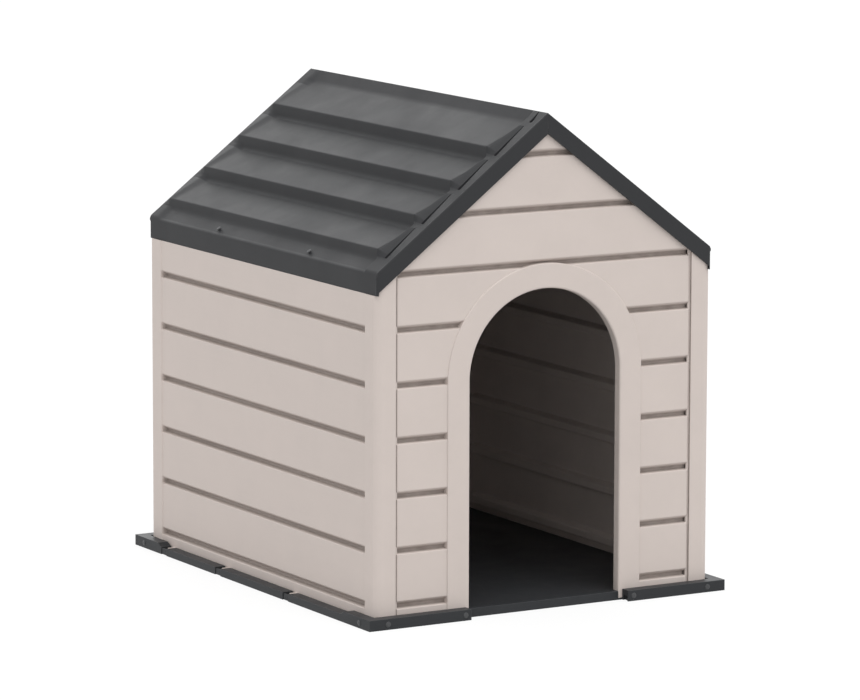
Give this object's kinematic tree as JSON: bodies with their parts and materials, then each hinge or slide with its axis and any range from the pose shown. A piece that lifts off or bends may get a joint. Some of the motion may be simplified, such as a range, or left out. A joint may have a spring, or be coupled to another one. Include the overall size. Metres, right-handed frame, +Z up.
{
  "type": "dog house",
  "caption": "Flat-pack plastic kennel with a gabled roof of raised courses, planked wall panels, corner posts and an arched open doorway.",
  "frame": {"origin": "under the middle of the floor tray, on the surface that the kennel stands on", "axes": "+X to the right seen from the front, +Y from the doorway to the back, +Z up"},
  "size_m": [0.646, 0.79, 0.7729],
  "materials": {
    "beige_plastic": "fine-textured matt moulded plastic, warm beige",
    "roof_plastic": "satin moulded plastic, graphite grey",
    "graphite_plastic": "satin moulded plastic, dark graphite",
    "peg_plastic": "smooth moulded plastic, dark grey"
  },
  "bodies": {
    "root": {"base_tray": "graphite_plastic", "left_wall": "beige_plastic", "right_wall": "beige_plastic", "front_wall": "beige_plastic", "rear_wall": "beige_plastic", "roof_left": "roof_plastic", "roof_right": "roof_plastic", "front_pegs": "peg_plastic", "rear_pegs": "peg_plastic", "left_pegs": "peg_plastic", "right_pegs": "peg_plastic", "left_roof_pins": "peg_plastic", "right_roof_pins": "peg_plastic"}
  },
  "joints": []
}
